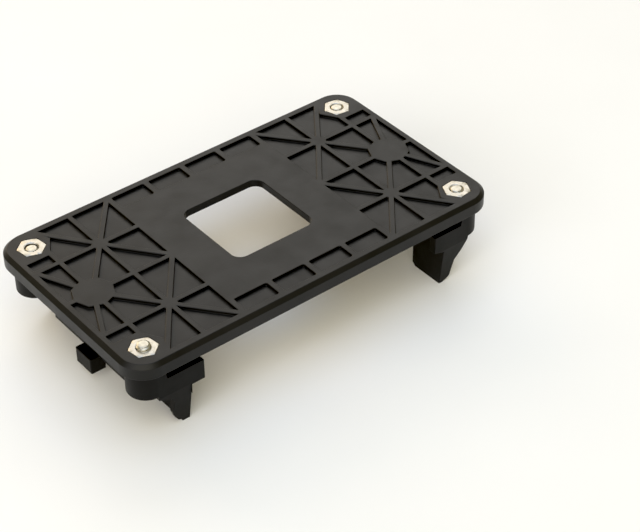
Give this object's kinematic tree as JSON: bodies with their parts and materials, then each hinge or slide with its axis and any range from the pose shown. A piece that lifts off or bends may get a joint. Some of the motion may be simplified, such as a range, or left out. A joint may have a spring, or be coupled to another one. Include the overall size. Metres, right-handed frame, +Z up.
{
  "type": "cpu cooler retention kit",
  "caption": "Retention kit that clamps a cooler to a processor board: ribbed backplate with a square window, captive hex nuts, screws and clip brackets.",
  "frame": {"origin": "on the ground plane under the centre of the backplate, where the bracket post tips stand", "axes": "+Z up, out of the ribbed back face; +X along the long side of the backplate, from the left bracket to the right bracket"},
  "size_m": [0.11, 0.062, 0.0254],
  "materials": {
    "backplate_plastic": "black moulded glass-filled plastic with a soft sheen",
    "bracket_plastic": "black moulded plastic with a soft sheen",
    "nut_nickel": "nickel plate with a warm tint",
    "screw_nickel": "nickel plate with a warm tint"
  },
  "bodies": {
    "plate": {"backplate": "backplate_plastic", "hex_nuts": "nut_nickel"},
    "left_bracket": {"bracket_left": "bracket_plastic"},
    "right_bracket": {"bracket_right": "bracket_plastic"},
    "left_front_screw": {"screw_left_front": "screw_nickel"},
    "left_back_screw": {"screw_left_back": "screw_nickel"},
    "right_front_screw": {"screw_right_front": "screw_nickel"},
    "right_back_screw": {"screw_right_back": "screw_nickel"}
  },
  "joints": [
    {"name": "backplate_lift_off", "type": "slide", "parent": "left_bracket", "child": "plate", "axis": [0, 0, 1], "range_m": [0, 0.03]},
    {"name": "right_bracket_release", "type": "slide", "parent": "plate", "child": "right_bracket", "axis": [0, 0, -1], "range_m": [0, 0.03]},
    {"name": "left_front_screw_turn", "type": "hinge", "parent": "left_bracket", "child": "left_front_screw", "pos_m": [-0.048, -0.024, 0.02], "axis": [0, 0, 1], "continuous": true},
    {"name": "left_back_screw_turn", "type": "hinge", "parent": "left_bracket", "child": "left_back_screw", "pos_m": [-0.048, 0.024, 0.02], "axis": [0, 0, 1], "continuous": true},
    {"name": "right_front_screw_turn", "type": "hinge", "parent": "right_bracket", "child": "right_front_screw", "pos_m": [0.048, -0.024, 0.02], "axis": [0, 0, 1], "continuous": true},
    {"name": "right_back_screw_turn", "type": "hinge", "parent": "right_bracket", "child": "right_back_screw", "pos_m": [0.048, 0.024, 0.02], "axis": [0, 0, 1], "continuous": true}
  ],
  "couplings": [
    {"joint": "right_bracket_release", "follows": "backplate_lift_off", "ratio": 1}
  ]
}
